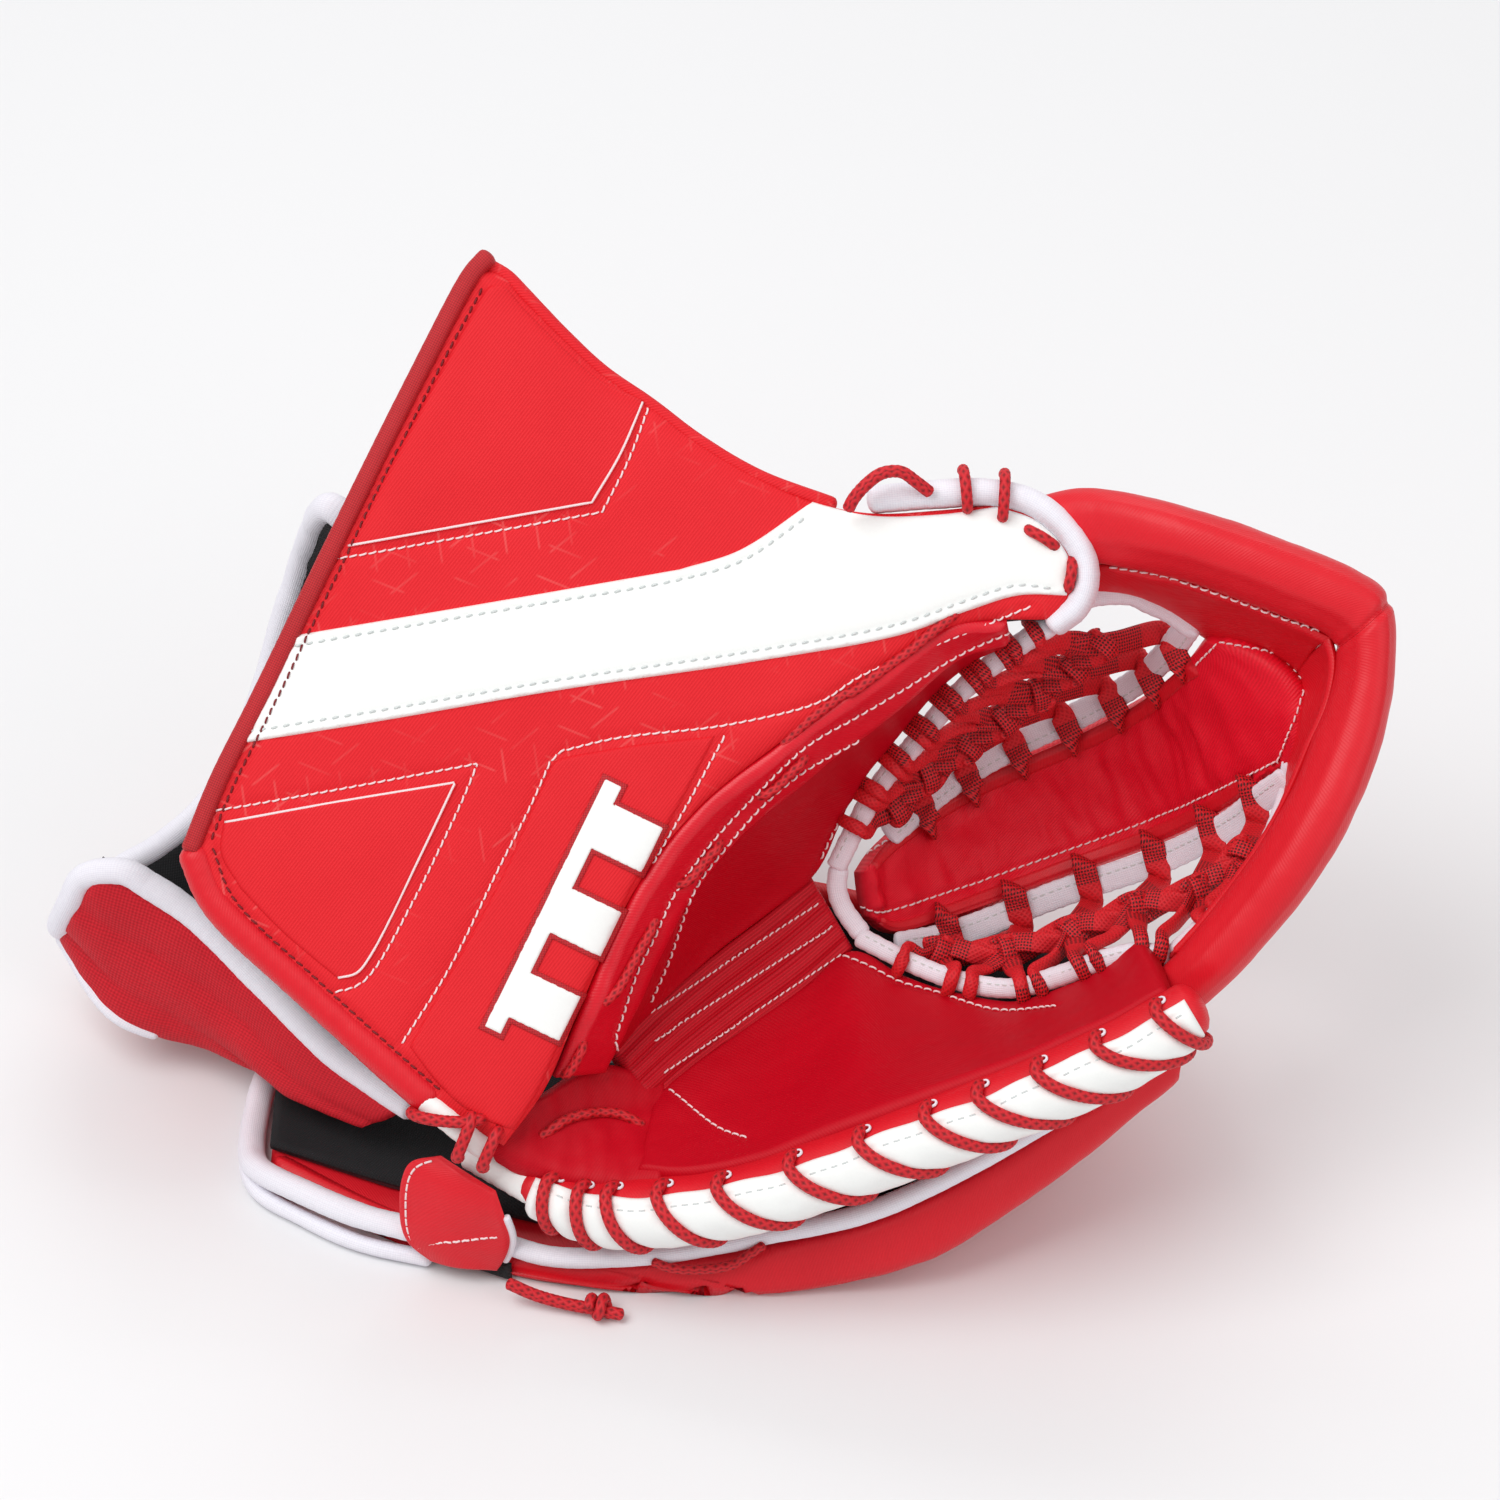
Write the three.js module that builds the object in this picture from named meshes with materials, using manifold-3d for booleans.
// Goalkeeper's catch glove for the left hand, lying open on its backhand, in millimetres.
//
// The glove is drawn in a palm frame: x to the right along the glove, y up the cuff board and z out
// of the board's face. The last step tilts that frame by REST_TILT about x, so the backhand lies on
// the ground plane z = 0.
import * as THREE from "three";
import { mergeVertices } from "three/addons/utils/BufferGeometryUtils.js";
import Module from "manifold-3d";

const wasm = await Module();
wasm.setup();

// ---------------------------------------------------------------- driving dimensions
const REST_TILT = THREE.MathUtils.degToRad(48); // board face to the horizontal
const REST_HEIGHT = 153; // palm frame origin above the ground
const CENTRE_X = -16.82; // middle of the glove's length in the palm frame
const CENTRE_Y = 4.53; // middle of its depth on the ground
const GAP = 0.35; // clear space between neighbouring pieces

const BOARD_PAD = 8; // foam and skin on the face of the cuff board
const BOARD_CORE = 2.2; // stiff plastic sheet behind the pad
const BOARD_LINING = 2.6;
const OVERLAY = 1.5; // sewn-on panels
const SKIN = 2; // palm leather
const PALM_FOAM = 6;
const BINDING = 2.6; // half thickness of the bound edges
const ROLL_WIDE = 10; // half width of the finger edge roll
const ROLL_DEEP = 12;
const BAND = 1.8; // white band over the finger edge roll
const LACE_R = 2.1; // round lace
const WHIP_TURNS = 15;
const FLAT_LACE = [8, 2.4]; // flat pocket lace, width and thickness
const TBAR_WIDE = 13.5; // half width of the roll round the pocket
const TBAR_DEEP = 19;
const END_SHARE = 0.8; // size of a roll's rounded end against its full section
const GUARD_WALL = 5;
const GUARD_LINING = 1.6;
const BACK_PAD = 7; // outer padding of the backhand
const BACK_CORE = 1.8;
const BACK_LINING = 1.6;

// ---------------------------------------------------------------- colours and finishes
const finish = (color, roughness, metalness = 0) =>
  new THREE.MeshStandardMaterial({ color, roughness, metalness });
const RED_WOVEN = finish(0xd9161c, 0.62);
const RED_SMOOTH = finish(0xd0121a, 0.42);
const RED_DEEP = finish(0xb40a16, 0.5);
const RED_NYLON = finish(0x9c141f, 0.72);
const RED_LACE = finish(0xab0c1d, 0.8);
const WHITE_SKIN = finish(0xf2f3f2, 0.45);
const WHITE_TAPE = finish(0xe6e5ee, 0.75);
const BLACK_LINING = finish(0x17171a, 0.9);
const FOAM = finish(0x3a3a3d, 0.95);
const PLASTIC = finish(0x24272b, 0.4);

// ---------------------------------------------------------------- geometry helpers
const V = (x, y, z) => new THREE.Vector3(x, y, z);
const lerp = THREE.MathUtils.lerp;
const root = new THREE.Group();
root.name = "catch_glove";
const palm = new THREE.Group();
palm.rotation.x = REST_TILT;
palm.position.set(-CENTRE_X, -CENTRE_Y, REST_HEIGHT);
root.add(palm);

function place(name, geometry, material) {
  const mesh = new THREE.Mesh(geometry, material);
  mesh.name = name;
  palm.add(mesh);
  return mesh;
}

// Ground frame to palm frame: across x, y back from the palm frame's origin, h above the ground.
function ground(x, y, h) {
  const s = Math.sin(REST_TILT);
  const c = Math.cos(REST_TILT);
  const z = h - REST_HEIGHT;
  return V(x, y * c + z * s, z * c - y * s);
}

function curve(points, count) {
  const list = points.map((p) => (p.isVector3 ? p : V(...p)));
  return new THREE.CatmullRomCurve3(list, false, "centripetal").getSpacedPoints(count);
}

function closedGeometry(positions, index) {
  const g = new THREE.BufferGeometry();
  g.setAttribute("position", new THREE.Float32BufferAttribute(positions, 3));
  g.setIndex(index);
  return g;
}

function toManifold(geometry) {
  const plain = new THREE.BufferGeometry().setAttribute("position", geometry.getAttribute("position"));
  if (geometry.index) plain.setIndex(geometry.index);
  const merged = mergeVertices(plain, 1e-4);
  return new wasm.Manifold(
    new wasm.Mesh({
      numProp: 3,
      vertProperties: merged.attributes.position.array,
      triVerts: new Uint32Array(merged.index.array),
    }),
  );
}

function toGeometry(manifold) {
  const m = manifold.getMesh();
  return closedGeometry(Array.from(m.vertProperties), Array.from(m.triVerts));
}

// Direction along a row at one point, and how far a mitred offset must reach there.
function bend(prev, here, next) {
  const after = next ? next.clone().sub(here).normalize() : null;
  const before = prev ? here.clone().sub(prev).normalize() : null;
  if (!after || !before) return { dir: after || before, reach: 1 };
  const sum = after.add(before);
  return { dir: sum.clone().normalize(), reach: Math.min(1.5, 2 / Math.max(sum.length(), 0.1)) };
}

// Normals of a grid of points, mitred at bends and turned to the side `facing` points to.
function gridNormals(rows, facing) {
  return rows.map((row, i) =>
    row.map((p, j) => {
      const a = bend(row[j - 1], p, row[j + 1]);
      const b = bend(rows[i - 1]?.[j], p, rows[i + 1]?.[j]);
      const n = a.dir.clone().cross(b.dir).normalize().multiplyScalar(a.reach * b.reach);
      return n.dot(facing(i, j)) < 0 ? n.negate() : n;
    }),
  );
}

// A sheet laid over a grid of points, between two distances from it along its normals.
function sheet(rows, from, to, facing = () => V(0, 0, 1)) {
  const normals = gridNormals(rows, facing);
  const m = rows.length;
  const n = rows[0].length;
  const positions = [];
  for (const off of [to, from]) {
    rows.forEach((row, i) =>
      row.forEach((p, j) => positions.push(...p.clone().addScaledVector(normals[i][j], off).toArray())),
    );
  }
  const index = [];
  const top = (i, j) => i * n + j;
  const low = (i, j) => m * n + i * n + j;
  const quad = (a, b, c, d) => index.push(a, b, c, a, c, d);
  for (let i = 0; i < m - 1; i++) {
    for (let j = 0; j < n - 1; j++) {
      quad(top(i, j), top(i, j + 1), top(i + 1, j + 1), top(i + 1, j));
      quad(low(i, j), low(i + 1, j), low(i + 1, j + 1), low(i, j + 1));
    }
  }
  for (let j = 0; j < n - 1; j++) {
    quad(top(0, j + 1), top(0, j), low(0, j), low(0, j + 1));
    quad(top(m - 1, j), top(m - 1, j + 1), low(m - 1, j + 1), low(m - 1, j));
  }
  for (let i = 0; i < m - 1; i++) {
    quad(top(i, 0), top(i + 1, 0), low(i + 1, 0), low(i, 0));
    quad(top(i + 1, n - 1), top(i, n - 1), low(i, n - 1), low(i + 1, n - 1));
  }
  return facingOut(closedGeometry(positions, index));
}

function facingOut(geometry) {
  if (toManifold(geometry).volume() > 0) return geometry;
  const flipped = Array.from(geometry.index.array);
  for (let i = 0; i < flipped.length; i += 3) {
    [flipped[i + 1], flipped[i + 2]] = [flipped[i + 2], flipped[i + 1]];
  }
  geometry.setIndex(flipped);
  return geometry;
}

// Grid rows between two curves, with `sag` pushing the middle rows down.
function between(a, b, count, rowsCount, sag = 0) {
  const first = curve(a, count);
  const last = curve(b, count);
  const rows = [];
  for (let i = 0; i <= rowsCount; i++) {
    const f = i / rowsCount;
    rows.push(
      first.map((p, j) => {
        const q = p.clone().lerp(last[j], f);
        const ends = Math.min(1, 5 * (j / count) * (1 - j / count));
        q.z -= sag * Math.sin(Math.PI * f) * ends;
        return q;
      }),
    );
  }
  return rows;
}

// Ring frames along a path: `across` lies in the plane square to `up`.
function frames(path, up) {
  return path.map((p, i) => {
    const t = path[Math.min(i + 1, path.length - 1)].clone().sub(path[Math.max(i - 1, 0)]).normalize();
    const across = t.clone().cross(up).normalize();
    const rise = across.clone().cross(t).normalize();
    return { p, t, across, rise };
  });
}

function ringPoint(frame, angle, wide, deep) {
  return frame.p
    .clone()
    .addScaledVector(frame.across, wide * Math.cos(angle))
    .addScaledVector(frame.rise, deep * Math.sin(angle));
}

// A capped sweep with an elliptical section, whose half width and half depth may change on the way.
function sweep(path, wide, deep, sides, { up = V(0, 0, 1), rounded = 0 } = {}) {
  const at = (v, f) => (typeof v === "function" ? v(f) : v);
  let list = frames(path, up);
  let sizes = list.map((_, i) => [at(wide, i / (path.length - 1)), at(deep, i / (path.length - 1))]);
  if (rounded) {
    const head = { ...list[0], p: list[0].p.clone().addScaledVector(list[0].t, -rounded) };
    const end = list.at(-1);
    const tail = { ...end, p: end.p.clone().addScaledVector(end.t, rounded) };
    const small = (s) => [s[0] * END_SHARE, s[1] * END_SHARE];
    sizes = [small(sizes[0]), ...sizes, small(sizes.at(-1))];
    list = [head, ...list, tail];
  }
  const positions = [];
  list.forEach((frame, i) => {
    for (let k = 0; k < sides; k++) {
      const angle = (2 * Math.PI * (k + 0.5)) / sides;
      positions.push(...ringPoint(frame, angle, ...sizes[i]).toArray());
    }
  });
  const index = [];
  const id = (i, k) => i * sides + (k % sides);
  for (let i = 0; i < list.length - 1; i++) {
    for (let k = 0; k < sides; k++) {
      index.push(id(i, k), id(i, k + 1), id(i + 1, k + 1), id(i, k), id(i + 1, k + 1), id(i + 1, k));
    }
  }
  for (let k = 1; k < sides - 1; k++) {
    index.push(id(0, 0), id(0, k + 1), id(0, k));
    index.push(id(list.length - 1, 0), id(list.length - 1, k), id(list.length - 1, k + 1));
  }
  return facingOut(closedGeometry(positions, index));
}

// A flat plate with softened front edges, from an outline in the board's plane.
function plate(outline, back, front, soften) {
  const shape = new THREE.Shape(outline.map(([x, y]) => new THREE.Vector2(x, y)));
  const g = new THREE.ExtrudeGeometry(shape, {
    depth: front - back - 2 * soften,
    bevelEnabled: soften > 0,
    bevelThickness: soften,
    bevelSize: soften,
    bevelOffset: -soften,
    bevelSegments: 1,
    curveSegments: 1,
  });
  g.translate(0, 0, back + soften);
  return toGeometry(toManifold(g));
}

// A straight flat lace from p to q, lying square to `normal`.
function bar(p, q, wide, thick, normal) {
  return toManifold(sweep([p, q], wide / Math.SQRT2, thick / Math.SQRT2, 4, { up: normal }));
}

const union = (list) => list.reduce((a, b) => a.add(b));
const shifted = (points, dx, dy, dz) => points.map(([x, y, z]) => [x + dx, y + dy, z + dz]);

// ---------------------------------------------------------------- cuff board and its panels
const APEX = [-83, 155];
const LEFT_EDGE = [[-88, 152], [-104, 122], [-122, 86], [-142, 45], [-156, 16], [-169, -10], [-178, -32]];
const HEEL_EDGE = [[-172, -48], [-144, -76], [-121, -97], [-103, -113]];
const HEEL = [[-90, -121], [-79, -127]];
const BREAK_EDGE = [[-66, -109], [-56, -86], [-37, -45], [-17, -19], [9, 2], [35, 21], [66, 40]];
const THUMB_END = [[99, 43], [103.6, 49.5], [104.5, 58], [100, 68], [92, 75], [80, 79]];
const TOP_EDGE = [
  [62, 77], [38, 76], [19, 80], [3, 87], [-16, 98], [-32, 110], [-48, 121], [-61, 133], [-74, 146],
];
const BOARD = [APEX, ...LEFT_EDGE, ...HEEL_EDGE, ...HEEL, ...BREAK_EDGE, ...THUMB_END, ...TOP_EDGE];

const coreFront = -BOARD_PAD - GAP;
const liningFront = coreFront - BOARD_CORE - GAP;
const boardBack = liningFront - BOARD_LINING;
const inset = (outline, by) => {
  const cx = -48;
  const cy = 22;
  return outline.map(([x, y]) => {
    const d = Math.hypot(x - cx, y - cy);
    return [x + ((cx - x) * by) / d, y + ((cy - y) * by) / d];
  });
};
place("cuff_board", plate(BOARD, -BOARD_PAD, 0, 2), RED_WOVEN);
place("cuff_core", plate(inset(BOARD, 4), coreFront - BOARD_CORE, coreFront, 0), PLASTIC);
place("cuff_lining", plate(inset(BOARD, 1), boardBack, liningFront, 0.6), BLACK_LINING);

const overlay = (outline) => plate(outline, GAP, GAP + OVERLAY, 0.5);
const UPPER_TRIANGLE = [
  [-131, 62], [-48, 76], [-31, 107], [-60, 129], [-76, 146], [-85, 150], [-101, 122], [-119, 86],
];
const LOWER_TRIANGLE = [
  [-168, -20], [-87, -5], [-100, -34], [-121, -71], [-127, -75], [-134, -76], [-174, -36],
];
const STRIPE_TOP = [[-144, 37], [-22, 58], [-3, 64], [20, 79]];
const STRIPE_END = [[38, 74], [62, 75], [79, 77], [90.5, 73], [98, 66.5], [102, 57.5], [97, 47]];
const STRIPE_LOW = [[70, 44], [48, 36], [0, 27], [-61, 19], [-160, 3]];
const EMBLEM_PANEL = [
  [-110, -95], [-80, -37], [-65, -4], [-59, 1], [-43, 4], [-11, 4], [-22, -19], [-39, -45], [-58, -87],
  [-69, -110], [-79, -128], [-90, -119],
];
place("upper_triangle", overlay(UPPER_TRIANGLE), RED_WOVEN);
place("lower_triangle", overlay(LOWER_TRIANGLE), RED_WOVEN);
place("white_stripe", overlay([...STRIPE_TOP, ...STRIPE_END, ...STRIPE_LOW]), WHITE_SKIN);
place("emblem_panel", overlay(EMBLEM_PANEL), RED_WOVEN);

// A plain row of three slanted bars on one spine, in place of lettering.
const emblemFront = GAP + OVERLAY + GAP;
const along = new THREE.Vector2(0.44, 0.9);
const emblemAt = (s, t) => [-76 + s * along.x - t * along.y, -95 + s * along.y + t * along.x];
const bars = [8, 38, 68].map((s) =>
  toManifold(
    plate(
      [[s, 6], [s, -14], [s + 16, -14], [s + 16, 6]].map(([a, b]) => emblemAt(a, b)),
      emblemFront,
      emblemFront + 1,
      0,
    ),
  ),
);
const spine = toManifold(
  plate(
    [[2, 10], [2, 4], [90, 4], [90, 10]].map(([a, b]) => emblemAt(a, b)),
    emblemFront,
    emblemFront + 1,
    0,
  ),
);
place("emblem", toGeometry(union([spine, ...bars])), WHITE_SKIN);

const boardMid = (boardBack + 0) / 2;
const outward = (points, by) => {
  const cx = -40;
  const cy = 10;
  return points.map(([x, y, z = boardMid]) => {
    const d = Math.hypot(x - cx, y - cy);
    return [x + ((x - cx) * by) / d, y + ((y - cy) * by) / d, z];
  });
};
place(
  "cuff_binding",
  sweep(curve(outward([[-88, 156], ...LEFT_EDGE], 3.8), 12), BINDING, 8.4, 10, { rounded: 2 }),
  RED_NYLON,
);
place(
  "top_binding",
  sweep(
    curve(
      [
        [24, 81.5], [3, 91], [-16, 102], [-32, 114], [-48, 125], [-60, 136], [-72, 148],
      ].map(([x, y]) => [x + 0.6, y, boardMid]),
      10,
    ),
    2,
    8,
    8,
  ),
  RED_WOVEN,
);
place(
  "heel_edge_roll",
  sweep(
    curve(
      [[-180.6, -40], [-175.9, -50.6], [-147.1, -79.2], [-124, -100.3], [-108, -114.6]].map(([x, y]) => [x, y, -8]),
      10,
    ),
    2.8,
    8,
    12,
    { rounded: 2 },
  ),
  RED_SMOOTH,
);
place(
  "thumb_binding",
  sweep(
    curve(
      [
        [36, 81.5], [60, 82.2], [81, 84], [94.7, 79.5], [104.6, 70.7], [109.3, 58.5], [107, 46],
      ].map(([x, y]) => [x, y, boardMid]),
      16,
    ),
    3.4,
    8.6,
    10,
    { rounded: 2 },
  ),
  WHITE_TAPE,
);

// ---------------------------------------------------------------- palm bowl
const GORE_TOP = [
  [85, 39, -6], [67, 37, -5], [38, 17.5, -5], [12, -1.5, -5], [-13, -21.5, -5], [-33, -47.5, -5],
  [-51, -87, -7], [-60, -108, -12],
];
const GORE_LOW = [
  [83, 36.5, -12], [66, 31, -14], [45, 13, -16], [19, -7, -17], [-5, -27, -18], [-23, -51, -18],
  [-40, -87, -21], [-49, -104, -25],
];
place("gore", sheet(between(GORE_TOP, GORE_LOW, 14, 1), -3, 0), RED_SMOOTH);

// Palm sheets and pocket walls face a point over the pocket.
const OVER_POCKET = V(60, -30, 80);
const towardsPocket = (rows) => (i, j) => OVER_POCKET.clone().sub(rows[i][j]);

const THUMB_SIDE = shifted(GORE_LOW, 1.4, -1.2, -2.2);
const POCKET_THUMB = [
  [84, 36, -20], [73, 30, -31], [60, 19, -41], [48, 4, -51], [37.5, -9, -58], [29.5, -24.5, -64],
  [22, -41, -67],
];
const FOLD_THUMB = [[6, -54, -62], [-14, -69, -52], [-32, -84, -42], [-46, -98, -33]];
const thumbFacing = () => V(0.5, -0.6, 0.6);
const thumbRows = between(THUMB_SIDE, [...POCKET_THUMB, ...FOLD_THUMB], 16, 4, 7);
place("palm_thumb_skin", sheet(thumbRows, 0, SKIN, thumbFacing), RED_DEEP);
const thumbFoamRows = thumbRows.map((row) => row.slice(1, -1));
place("palm_thumb_foam", sheet(thumbFoamRows, -PALM_FOAM - GAP, -2 * GAP, thumbFacing), FOAM);

const STRIP_THUMB = [[23, -47, -68], [8, -59, -62], [-12, -74, -52], [-30, -89, -42], [-43, -102, -34]];
const STRIP_FINGER = [[31, -60, -68], [16, -73, -62], [-4, -87, -53], [-22, -100, -43], [-36, -111, -35]];
const stripRows = between(STRIP_THUMB, STRIP_FINGER, 6, 2, 1);
place("palm_strip", sheet(stripRows, 0, SKIN), RED_NYLON);
place("palm_strip_foam", sheet(stripRows, -PALM_FOAM - GAP, -GAP), FOAM);

const FINGER_SIDE = [
  [-30, -121, -26], [-20, -124, -22], [0, -120, -16], [28, -110, -9], [56, -98, -2], [84, -85, 4],
  [108, -74, 8], [126, -65, 8],
];
const FOLD_FINGER = [[-32, -115, -36], [-18, -104, -44], [0, -91, -54], [20, -78, -63], [34, -67, -67]];
const POCKET_FINGER = [
  [50, -75, -64], [67, -81, -58], [86, -84, -50], [102, -79, -38], [116, -72, -25], [126, -62, -12],
];
const fingerRows = between(FINGER_SIDE, [...FOLD_FINGER, ...POCKET_FINGER], 16, 4, 6);
place("palm_finger_skin", sheet(fingerRows, 0, SKIN, towardsPocket(fingerRows)), RED_DEEP);
place("palm_finger_foam", sheet(fingerRows, -PALM_FOAM - GAP, -3 * GAP, towardsPocket(fingerRows)), FOAM);

// Lace that joins the board, the gore and the heel: it rides on the gore and dips at each hole.
const goreMid = curve(GORE_TOP.map((p, i) => V(...p).lerp(V(...GORE_LOW[i]), 0.45)), 28);
goreMid.forEach((p, i) => {
  const lift = 3.6 + 1.2 * Math.cos(i * Math.PI * 0.5);
  p.add(V(0.45 * lift, -0.4 * lift, 0.8 * lift));
});
place("seam_lace", sweep(goreMid, 1.8, 1.8, 6), RED_LACE);

// ---------------------------------------------------------------- pocket: bound edges, T panel and lacing
const V_THUMB = [
  [97, 39.5, -17], [90, 35, -24], [79, 27, -33], [66, 15, -43], [54.5, 1, -53], [43.5, -12, -60],
  [35.5, -26.5, -65], [29.5, -39, -68],
];
const V_FINGER = [
  [37, -62, -68], [51, -69, -64], [68, -75.5, -58], [86, -78, -50], [101, -73, -38], [115, -66, -25],
  [126, -56, -11],
];
const alongV = (points) => points.map(([x, y, z]) => [x, y, z + 1]);
place("pocket_binding_thumb", sweep(curve(alongV(V_THUMB), 14), 2.6, 3.2, 8, { rounded: 1 }), WHITE_TAPE);
place(
  "pocket_binding_finger",
  sweep(curve(alongV(V_FINGER), 12), 2.6, 3.2, 8, { rounded: 1 }),
  WHITE_TAPE,
);
place(
  "pocket_binding_fold",
  sweep(curve([[29, -45, -68], [31, -51, -70], [36, -57, -69]], 3), 2.6, 3, 8),
  WHITE_TAPE,
);

const T_THUMB = [
  [38, -41, -75], [46, -31, -82], [73, -12, -91], [110, 4.8, -87], [129, 15, -73], [140, 25, -54],
  [149, 35, -33],
];
const T_FINGER = [
  [40, -56, -77], [48, -61, -82], [68, -56.5, -90.5], [106, -43, -97], [140, -30, -84], [160, -18, -60],
  [170, -8, -35],
];
const tRows = between(T_THUMB, T_FINGER, 14, 4, 5);
tRows[2].at(-1).add(V(4, 0, 8));
tRows[1].at(-1).add(V(3, 0, 6));
tRows[3].at(-1).add(V(3, 0, 6));
place("t_panel", sheet(tRows, 0, 2.4), RED_NYLON);
place("t_panel_core", sheet(tRows, -5, -GAP), FOAM);

const T_BIND_THUMB = [
  [74, -7, -88], [92, 3, -88], [111, 12, -83], [128, 22, -70], [138, 32, -52], [143, 40, -36],
];
const T_BIND_FINGER = [
  [50, -66, -80], [70, -62, -88], [104, -49, -94], [138, -37, -82], [160, -24, -58], [166, -14, -38],
];
place("t_binding_thumb", sweep(curve(T_BIND_THUMB, 10), 4.2, 1.5, 8, { rounded: 1 }), WHITE_TAPE);
place("t_binding_finger", sweep(curve(T_BIND_FINGER, 12), 4.2, 1.5, 8, { rounded: 1 }), WHITE_TAPE);

// Flat lace run to and fro between two bound edges, with a knotted row along the middle.
function lacing(edgeA, edgeB, crossings, liftA, liftB) {
  const a = curve(edgeA, crossings);
  const b = curve(edgeB, crossings);
  const middle = [];
  const bits = [];
  for (let i = 0; i < crossings; i++) {
    const p = a[i].clone().lerp(a[i + 1], 0.5).add(liftA);
    const q = b[i].clone().lerp(b[i + 1], 0.5).add(liftB);
    const across = q.clone().sub(p).normalize();
    const next = a[i + 1].clone().sub(a[i]).normalize();
    const normal = next.cross(across).normalize();
    bits.push(bar(p, q, FLAT_LACE[0], FLAT_LACE[1], normal));
    middle.push([p.clone().lerp(q, 0.36), p.clone().lerp(q, 0.64), normal]);
  }
  for (let i = 0; i < crossings - 1; i++) {
    const normal = middle[i][2];
    bits.push(bar(middle[i][0], middle[i + 1][1], FLAT_LACE[0], FLAT_LACE[1], normal));
    bits.push(bar(middle[i][1], middle[i + 1][0], FLAT_LACE[0], FLAT_LACE[1], normal));
  }
  return toGeometry(union(bits));
}
place(
  "pocket_lacing_thumb",
  lacing(V_THUMB.slice(0, 6).reverse(), T_BIND_THUMB, 5, V(2.5, -2.5, 8.5), V(0, 0, 6)),
  RED_LACE,
);
place(
  "pocket_lacing_finger",
  lacing(V_FINGER.slice(1, 6), T_BIND_FINGER, 6, V(0, 4.6, 11), V(0, 0, 5)),
  RED_LACE,
);

// ---------------------------------------------------------------- roll round the pocket
const taperIn = (a, b) => (f) => lerp(a, b, Math.min(1, f * 2.2));
const taperOut = (a, b) => (f) => lerp(b, a, Math.min(1, (1 - f) * 2.2));
const THUMB_ARM = [[123.5, 70.5, 0], [138, 66.5, 6], [157, 60.5, 10], [174.2, 53.4, 12]];
const CORNER_ARM = [[182.5, 48.5, 12], [189, 41, 12], [192.5, 31, 12], [193.5, 19.5, 12]];
const FINGER_ARM = [
  [193, 10.8, 12], [190, -2, 12], [183, -17, 12], [173, -34, 10], [161, -51, 7], [150.5, -65.5, 5],
];
place(
  "tbar_thumb",
  sweep(curve(THUMB_ARM, 6), taperIn(10, TBAR_WIDE), taperIn(14, TBAR_DEEP), 14, { rounded: 2 }),
  RED_SMOOTH,
);
place("tbar_corner", sweep(curve(CORNER_ARM, 5), TBAR_WIDE, TBAR_DEEP, 14, { rounded: 2 }), RED_SMOOTH);
place(
  "tbar_finger",
  sweep(curve(FINGER_ARM, 8), taperOut(TBAR_WIDE, 10), taperOut(TBAR_DEEP, 12), 14, { rounded: 2 }),
  RED_SMOOTH,
);

const WALL_THUMB_TOP = [[121, 56, -8], [136, 49, -8], [152, 43.5, -8], [166, 38, -8]];
const WALL_THUMB_LOW = [[124, 48, -13], [143, 46, -30], [153, 38.5, -36], [160, 36, -33]];
const WALL_WEB_TOP = [[170, 34, -8], [176, 28, -8], [177, 20, -8], [177, 12, -8]];
const WALL_WEB_LOW = [[163, 33, -27], [171, 25, -21], [174.5, 17, -19], [175.5, 9, -22]];
const WALL_FINGER_TOP = [[176, 6, -8], [174, -4, -8], [167, -19, -8], [157, -35, -10], [148, -49, -12]];
const WALL_FINGER_LOW = [
  [175, 3, -26], [173, -6, -30], [165, -22, -28], [153, -35, -24], [144, -48, -20],
];
const wall = (top, low, count, thick) => {
  const rows = between(top, low, count, 1);
  return sheet(rows, -thick, 0, towardsPocket(rows));
};
place("wall_thumb", wall(WALL_THUMB_TOP, WALL_THUMB_LOW, 5, 2), RED_SMOOTH);
place("wall_corner", wall(WALL_WEB_TOP, WALL_WEB_LOW, 5, 1.4), RED_SMOOTH);
place("wall_finger", wall(WALL_FINGER_TOP, WALL_FINGER_LOW, 7, 1.4), RED_SMOOTH);

// ---------------------------------------------------------------- finger edge: roll, band and whip lace
const ROLL_PATH = [
  [-70, -144, -22], [-48, -148, -14], [-26, -147, -8], [-3, -143, -2], [26, -133, 5], [57, -121, 11],
  [89, -108, 16], [117, -95, 19], [139, -82, 20],
];
const rollCurve = curve(ROLL_PATH, 16);
place("finger_roll", sweep(rollCurve, ROLL_WIDE, ROLL_DEEP, 14, { rounded: 3 }), RED_SMOOTH);
const bandFrames = frames(curve(ROLL_PATH, 18), V(0, 0, 1));
const bandAngles = [-18, 0, 20, 42, 66, 90, 112].map((d) => THREE.MathUtils.degToRad(d));
const bandRows = bandAngles.map((angle) =>
  bandFrames.map((f) => ringPoint(f, angle, ROLL_WIDE + 0.8, ROLL_DEEP + 0.8)),
);
const bandFacing = (i, j) => bandRows[i][j].clone().sub(bandFrames[j].p);
place("finger_band", sheet(bandRows, 0, BAND, bandFacing), WHITE_SKIN);

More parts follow.
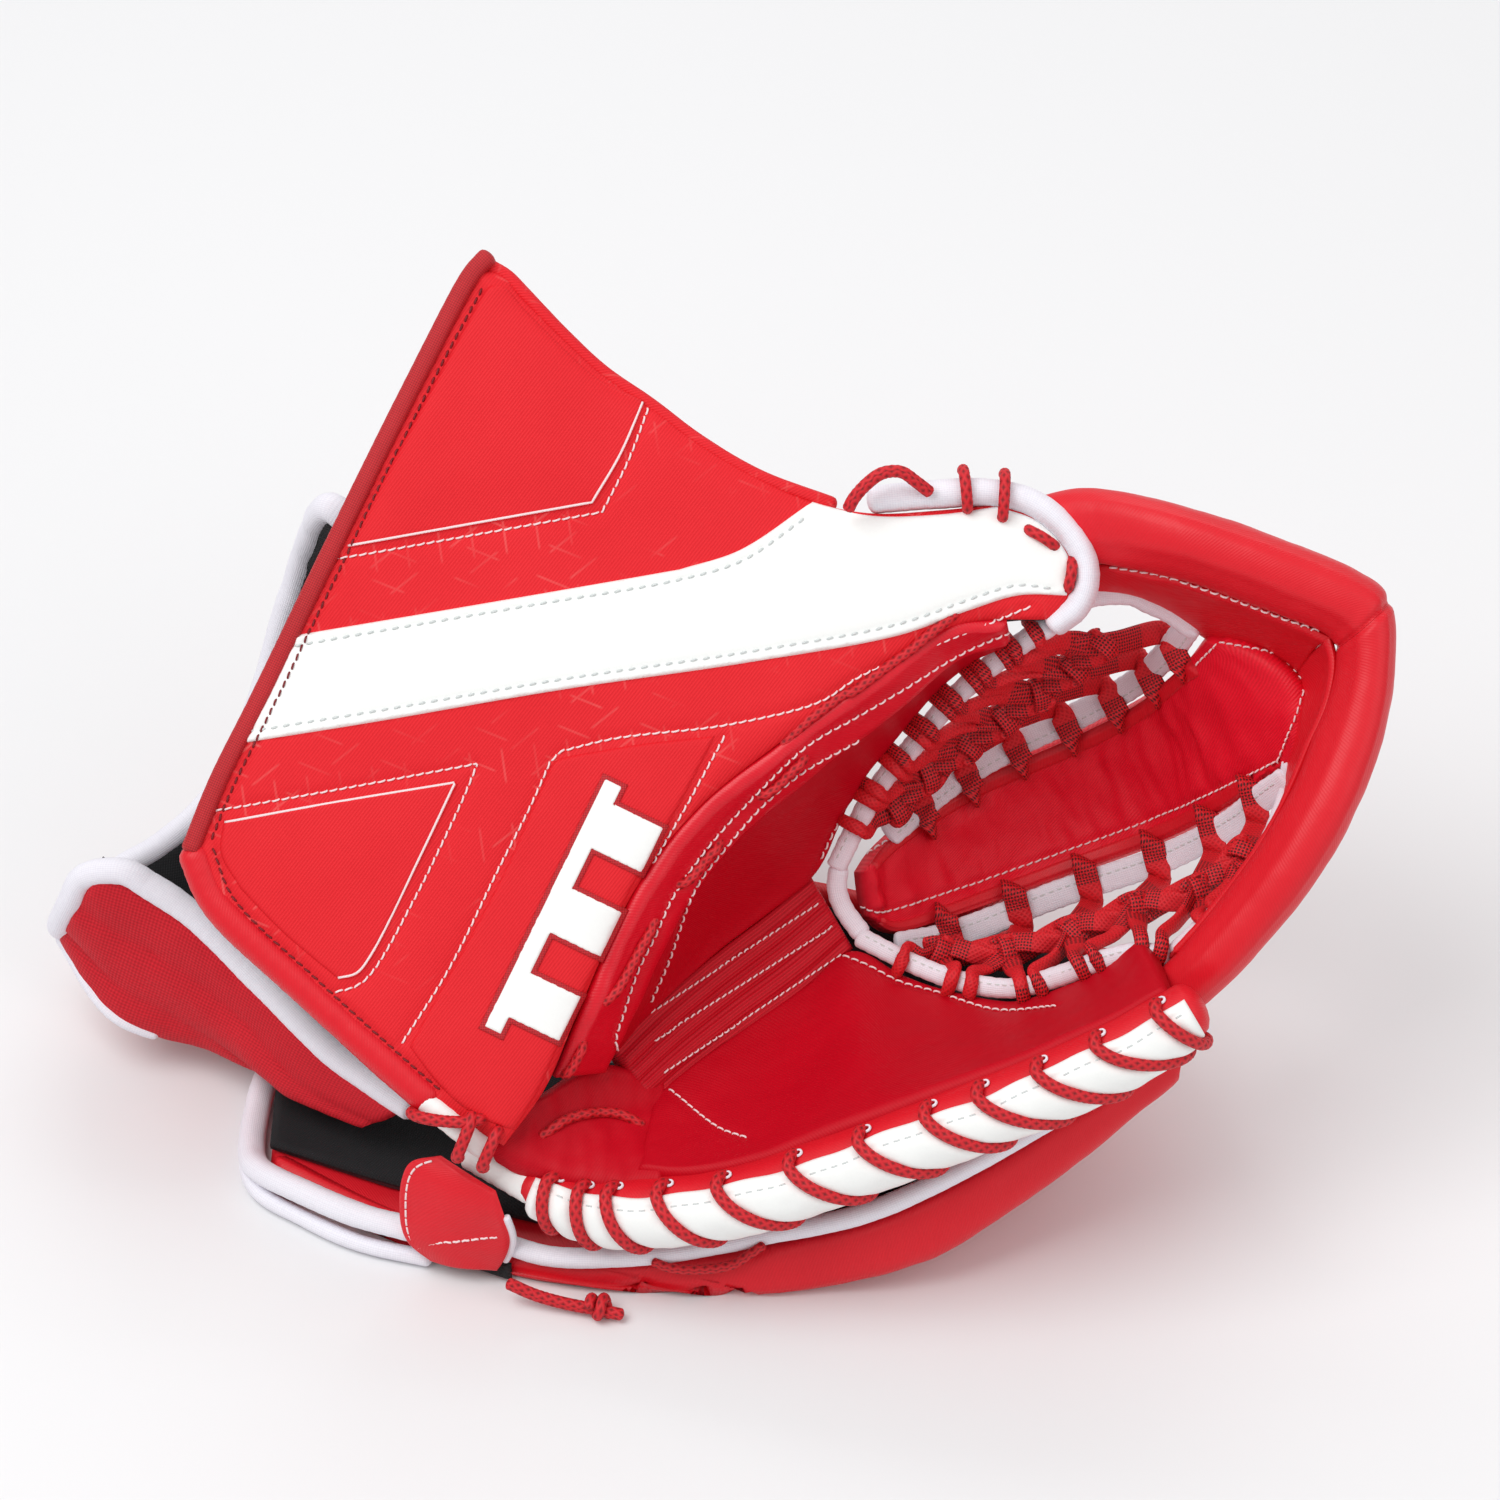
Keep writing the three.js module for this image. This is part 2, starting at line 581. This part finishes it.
const whipSteps = WHIP_TURNS * 10;
const whipFrames = frames(curve(ROLL_PATH, whipSteps), V(0, 0, 1)).slice(8, -4);
const whipPath = whipFrames.map((f, i) => {
  const angle = (2 * Math.PI * i) / 10;
  return ringPoint(f, -angle, ROLL_WIDE + BAND + LACE_R + 1.5, ROLL_DEEP + BAND + LACE_R + 1.5);
});
function cordAlong(path, radius, sides) {
  const tube = [];
  let side = null;
  path.forEach((p, i) => {
    const t = path[Math.min(i + 1, path.length - 1)].clone().sub(path[Math.max(i - 1, 0)]).normalize();
    if (!side) side = Math.abs(t.z) < 0.9 ? V(0, 0, 1) : V(1, 0, 0);
    side = side.clone().addScaledVector(t, -side.dot(t)).normalize();
    tube.push({ p, t, across: side, rise: t.clone().cross(side) });
  });
  const positions = [];
  tube.forEach((f) => {
    for (let k = 0; k < sides; k++) {
      positions.push(...ringPoint(f, (2 * Math.PI * k) / sides, radius, radius).toArray());
    }
  });
  const index = [];
  const id = (i, k) => i * sides + (k % sides);
  for (let i = 0; i < tube.length - 1; i++) {
    for (let k = 0; k < sides; k++) {
      index.push(id(i, k), id(i, k + 1), id(i + 1, k + 1), id(i, k), id(i + 1, k + 1), id(i + 1, k));
    }
  }
  for (let k = 1; k < sides - 1; k++) {
    index.push(id(0, 0), id(0, k + 1), id(0, k));
    index.push(id(tube.length - 1, 0), id(tube.length - 1, k), id(tube.length - 1, k + 1));
  }
  return facingOut(closedGeometry(positions, index));
}
place("whip_lace", cordAlong(whipPath, LACE_R, 5), RED_LACE);

// ---------------------------------------------------------------- backhand, drawn above the ground
const BACK_STATIONS = [
  { x: -160, near: [-46, 10], foot: [-46, 0], low: [-20, 0], far: [14, 0], rim: [26, 8] },
  { x: -120, near: [-70, 10], foot: [-71, 0], low: [-20, 0], far: [44, 0], rim: [58, 18] },
  { x: -70, near: [-87, 9], foot: [-90, 0], low: [-30, 0], far: [54, 0], rim: [74, 28] },
  { x: -20, near: [-92, 13], foot: [-96, 0], low: [-30, 0], far: [54, 0], rim: [76, 30] },
  { x: 20, near: [-92, 22], foot: [-97, 4], low: [-44, 0], far: [50, 0], rim: [72, 28] },
  { x: 60, near: [-89, 39], foot: [-95, 18], low: [-52, 3], far: [36, 2], rim: [60, 26] },
  { x: 100, near: [-78, 60], foot: [-82, 42], low: [-48, 22], far: [8, 19], rim: [36, 34] },
  { x: 140, near: [-62, 80], foot: [-64, 70], low: [-46, 56], far: [-16, 54], rim: [-2, 62] },
];
const backKeys = ["near", "foot", "low", "far", "rim"];
const backRows = backKeys.map((key) => BACK_STATIONS.map((s) => ground(s.x, ...s[key])));
const backInside = (rows) => (i, j) => ground(BACK_STATIONS[j].x, -10, 70).sub(rows[i][j]);
const innerRows = [
  backRows[1].map((p, j) => p.clone().lerp(backRows[2][j], 0.3)),
  ...backRows.slice(2, 4),
  backRows[3].map((p, j) => p.clone().lerp(backRows[4][j], 0.8)),
];
const coreFrom = BACK_PAD + 4 * GAP;
const liningFrom = coreFrom + BACK_CORE + GAP;
place("backhand_pad", sheet(backRows, 0, BACK_PAD, backInside(backRows)), RED_SMOOTH);
place("backhand_core", sheet(innerRows, coreFrom, coreFrom + BACK_CORE, backInside(innerRows)), PLASTIC);
place(
  "backhand_lining",
  sheet(innerRows, liningFrom, liningFrom + BACK_LINING, backInside(innerRows)),
  BLACK_LINING,
);
const PIPING = [
  [
    -100, -76.5, 13.2,
  ], [-83, -83, 12.4], [-66, -89, 11.4], [-44, -91.6, 13.6], [-20, -91, 16.6], [2, -90, 22],
  [35, -90, 32], [60, -86, 43], [100, -75, 64], [130, -64, 79.5], [145, -58, 87],
];
place(
  "backhand_piping",
  sweep(curve(PIPING.map((p) => ground(...p)), 16), 2.6, 2.6, 8, { rounded: 1 }),
  WHITE_TAPE,
);
const WRIST_END = [
  [-128, -76, 9], [-146, -66, 8], [-163, -54, 6], [-166.5, -44, 5.6], [-166.5, -20, 5.4], [-166.5, 10, 5.4],
  [-166, 22, 7],
];
place(
  "backhand_binding",
  sweep(curve(WRIST_END.map((p) => ground(...p)), 12), 4.2, 4.2, 8, { rounded: 1 }),
  WHITE_TAPE,
);

// ---------------------------------------------------------------- wrist guard: a padded trough behind the board
const guardPoint = (s, t, z) => V(-0.82 * s + 0.57 * t, 0.57 * s + 0.82 * t, z);
const GUARD_SECTIONS = [
  {
    s: 26,
    rim: [-159, -34],
    wall: [-176, -56],
    low: [-162, -84],
    bottom: [-122, -106],
    far: [-84, -100],
    farRim: [-64, -50],
    skew: 44,
  },
  {
    s: 56,
    rim: [-157, -46],
    wall: [-182, -68],
    low: [-168, -94],
    bottom: [-118, -118],
    far: [-62, -106],
    farRim: [-38, -52],
    skew: 32,
  },
  {
    s: 90,
    rim: [-155, -58],
    wall: [-188, -92],
    low: [-172, -110],
    bottom: [-116, -124],
    far: [-46, -108],
    farRim: [-20, -52],
    skew: 18,
  },
  {
    s: 124,
    rim: [-157, -58],
    wall: [-192, -102],
    low: [-174, -120],
    bottom: [-116, -130],
    far: [-40, -110],
    farRim: [-12, -48],
    skew: 8,
    dip: 6,
  },
  {
    s: 156,
    rim: [-160, -56],
    wall: [-188, -92],
    low: [-172, -114],
    bottom: [-119.5, -126],
    far: [-38, -106],
    farRim: [-10, -46],
    skew: 4,
    dip: 17,
  },
];
const guardKeys = ["rim", "wall", "low", "bottom", "far", "farRim"];
const guardGrid = GUARD_SECTIONS.map((g) => {
  const keys = guardKeys.map((key, i) => {
    const back = key === "bottom" ? g.dip || 0 : 0; // how far the edge at the arm opening is cut back
    return guardPoint(g.s + (g.skew * i) / 5 - back, g[key][0], g[key][1]);
  });
  return curve(keys, 10);
});
const guardInside = (i, j) => {
  const mid = guardGrid[i][0].clone().lerp(guardGrid[i].at(-1), 0.5);
  return mid.sub(guardGrid[i][j]).add(V(0, 0, 10));
};
place("guard_shell", sheet(guardGrid, 0, GUARD_WALL, guardInside), RED_NYLON);
place(
  "guard_lining",
  sheet(guardGrid, GUARD_WALL + 3 * GAP, GUARD_WALL + 3 * GAP + GUARD_LINING, guardInside),
  BLACK_LINING,
);

// White tape round the near rim, the arm opening and the far rim of the guard.
const guardNormals = gridNormals(guardGrid, guardInside);
const guardMiddle = (GUARD_WALL + GAP + GUARD_LINING) / 2;
const guardEdge = guardMiddle + 2.8;
const rimPoint = (i, j) => {
  const p = guardGrid[i][j].clone().addScaledVector(guardNormals[i][j], guardMiddle);
  const inner = guardGrid[i][j === 0 ? 1 : guardGrid[i].length - 2];
  if (j === 0 || j === guardGrid[i].length - 1) {
    p.addScaledVector(guardGrid[i][j].clone().sub(inner).normalize(), guardEdge);
  }
  if (i === guardGrid.length - 1) p.add(V(-0.82, 0.57, 0).multiplyScalar(guardEdge));
  return p;
};
const lastColumn = guardGrid[0].length - 1;
const rimPath = [
  ...guardGrid.map((_, i) => rimPoint(i, 0)),
  ...guardGrid[0].slice(1, -1).map((_, j) => rimPoint(guardGrid.length - 1, j + 1)),
  ...guardGrid.map((_, i) => rimPoint(guardGrid.length - 1 - i, lastColumn)),
];
place("guard_binding", cordAlong(curve(rimPath, 40), guardMiddle + 0.5, 8), WHITE_TAPE);

const strapPoint = (s, t, z) => guardPoint(s, t, z);
const STRAP_NEAR = [
  strapPoint(70, -146, -48), strapPoint(70, -120, -34), strapPoint(74, -90, -30),
  strapPoint(80, -60, -34),
];
const STRAP_FAR = [
  strapPoint(96, -146, -50), strapPoint(96, -120, -36), strapPoint(100, -90, -32),
  strapPoint(106, -60, -36),
];
place("wrist_strap", sheet(between(STRAP_NEAR, STRAP_FAR, 8, 1), 0, 2.4), BLACK_LINING);

// ---------------------------------------------------------------- heel strap tab and lace tails
const TAB_ROWS = [
  [[-100, -131, -16], [-91, -136.5, -13], [-82, -142, -12]],
  [[-109, -134, -20], [-96, -142, -15], [-81, -149, -15]],
  [[-112, -148, -27], [-97, -154, -22], [-80, -158, -23]],
  [[-110, -157, -32], [-96, -162, -28], [-81, -164, -29]],
  [[-101, -165, -35], [-92, -167.5, -32], [-84, -168, -33]],
].map((row) => curve(row, 4));
const tabFacing = () => V(0, -0.6, 1);
place("heel_tab", sheet(TAB_ROWS, 0, 2.2, tabFacing), RED_SMOOTH);
const patchRows = TAB_ROWS.slice(2).map((row) => row.slice(1, 4));
place("tab_hook_patch", sheet(patchRows, -1.5, -GAP, tabFacing), BLACK_LINING);
const LOOP_TOP = [[-106, -78.4, 8], [-92, -83.6, 7.4], [-78, -88.4, 7]];
const LOOP_LOW = [[-106, -79.4, 2], [-92, -84.6, 1.8], [-78, -90.6, 1.6]];
const loopRows = between(LOOP_TOP.map((p) => ground(...p)), LOOP_LOW.map((p) => ground(...p)), 4, 1);
place("loop_patch", sheet(loopRows, -1.2, 0, tabFacing), BLACK_LINING);
place(
  "heel_binding",
  sweep(
    curve([[-99, -119, -5.5], [-93, -125, -5.5], [-86.5, -129.5, -5.5]], 5),
    3,
    3.4,
    8,
    { rounded: 1 },
  ),
  WHITE_TAPE,
);
const thumbTail = curve([[53, 85, 7], [48, 88.5, 9], [42, 88, 10], [37, 84.5, 10], [33, 80, 9]], 12);
place("lace_tail_thumb", cordAlong(thumbTail, LACE_R, 8), RED_LACE);
const heelTail = curve(
  [
    [-78, -99, 9], [-70, -101, 6], [-60, -103, 4], [-50, -105, 3.4], [-42, -107, 3.2],
  ].map((p) => ground(...p)),
  12,
);
place("lace_tail_heel", cordAlong(heelTail, LACE_R, 8), RED_LACE);
const THUMB_LACE = [
  [58, 83, 5.4], [64, 76, 5], [71, 84.5, 5.4], [76, 76, 5], [87, 82.5, 5.4], [87, 73, 5], [98, 76.5, 5.4],
  [94, 68, 5], [107, 65.5, 5.4], [100, 58, 5], [108.5, 53.5, 5.4],
];
place("thumb_lace", cordAlong(curve(THUMB_LACE, 26), 1.8, 6), RED_LACE);

// ---------------------------------------------------------------- inside of the glove
const stallAt = (f, n, z) => V(lerp(-48, 70, f) - 0.68 * n, lerp(4, 60, f) + 0.73 * n, z);
const stallRows = [0, 0.25, 0.5, 0.75, 1].map((f) => {
  const half = lerp(19, 13, f);
  const deep = lerp(34, 22, f);
  const section = [
    [-half, 0.5], [-half, -deep * 0.6], [-half * 0.6, -deep], [half * 0.6, -deep], [half, -deep * 0.6],
    [half, 0.5],
  ];
  return section.map(([n, z]) => stallAt(f, n, boardBack - 1 + z));
});
const stallOutside = (i, j) => stallRows[i][j].clone().sub(stallAt(i / 4, 0, boardBack - 10));
place("thumb_stall", sheet(stallRows, 0, 2, stallOutside), BLACK_LINING);
for (const [k, y] of [-58, -34, -10].entries()) {
  const low = [ground(0, y, 14), ground(30, y, 15), ground(54, y, 21), ground(76, y, 32)];
  const high = [ground(0, y, 36), ground(30, y, 38), ground(56, y, 40), ground(76, y, 42)];
  const facing = () => ground(0, 1, 0).sub(ground(0, 0, 0));
  place(`finger_divider_${k + 1}`, sheet(between(low, high, 4, 1), 0, 1.6, facing), BLACK_LINING);
}

root.updateMatrixWorld(true);
export default root;
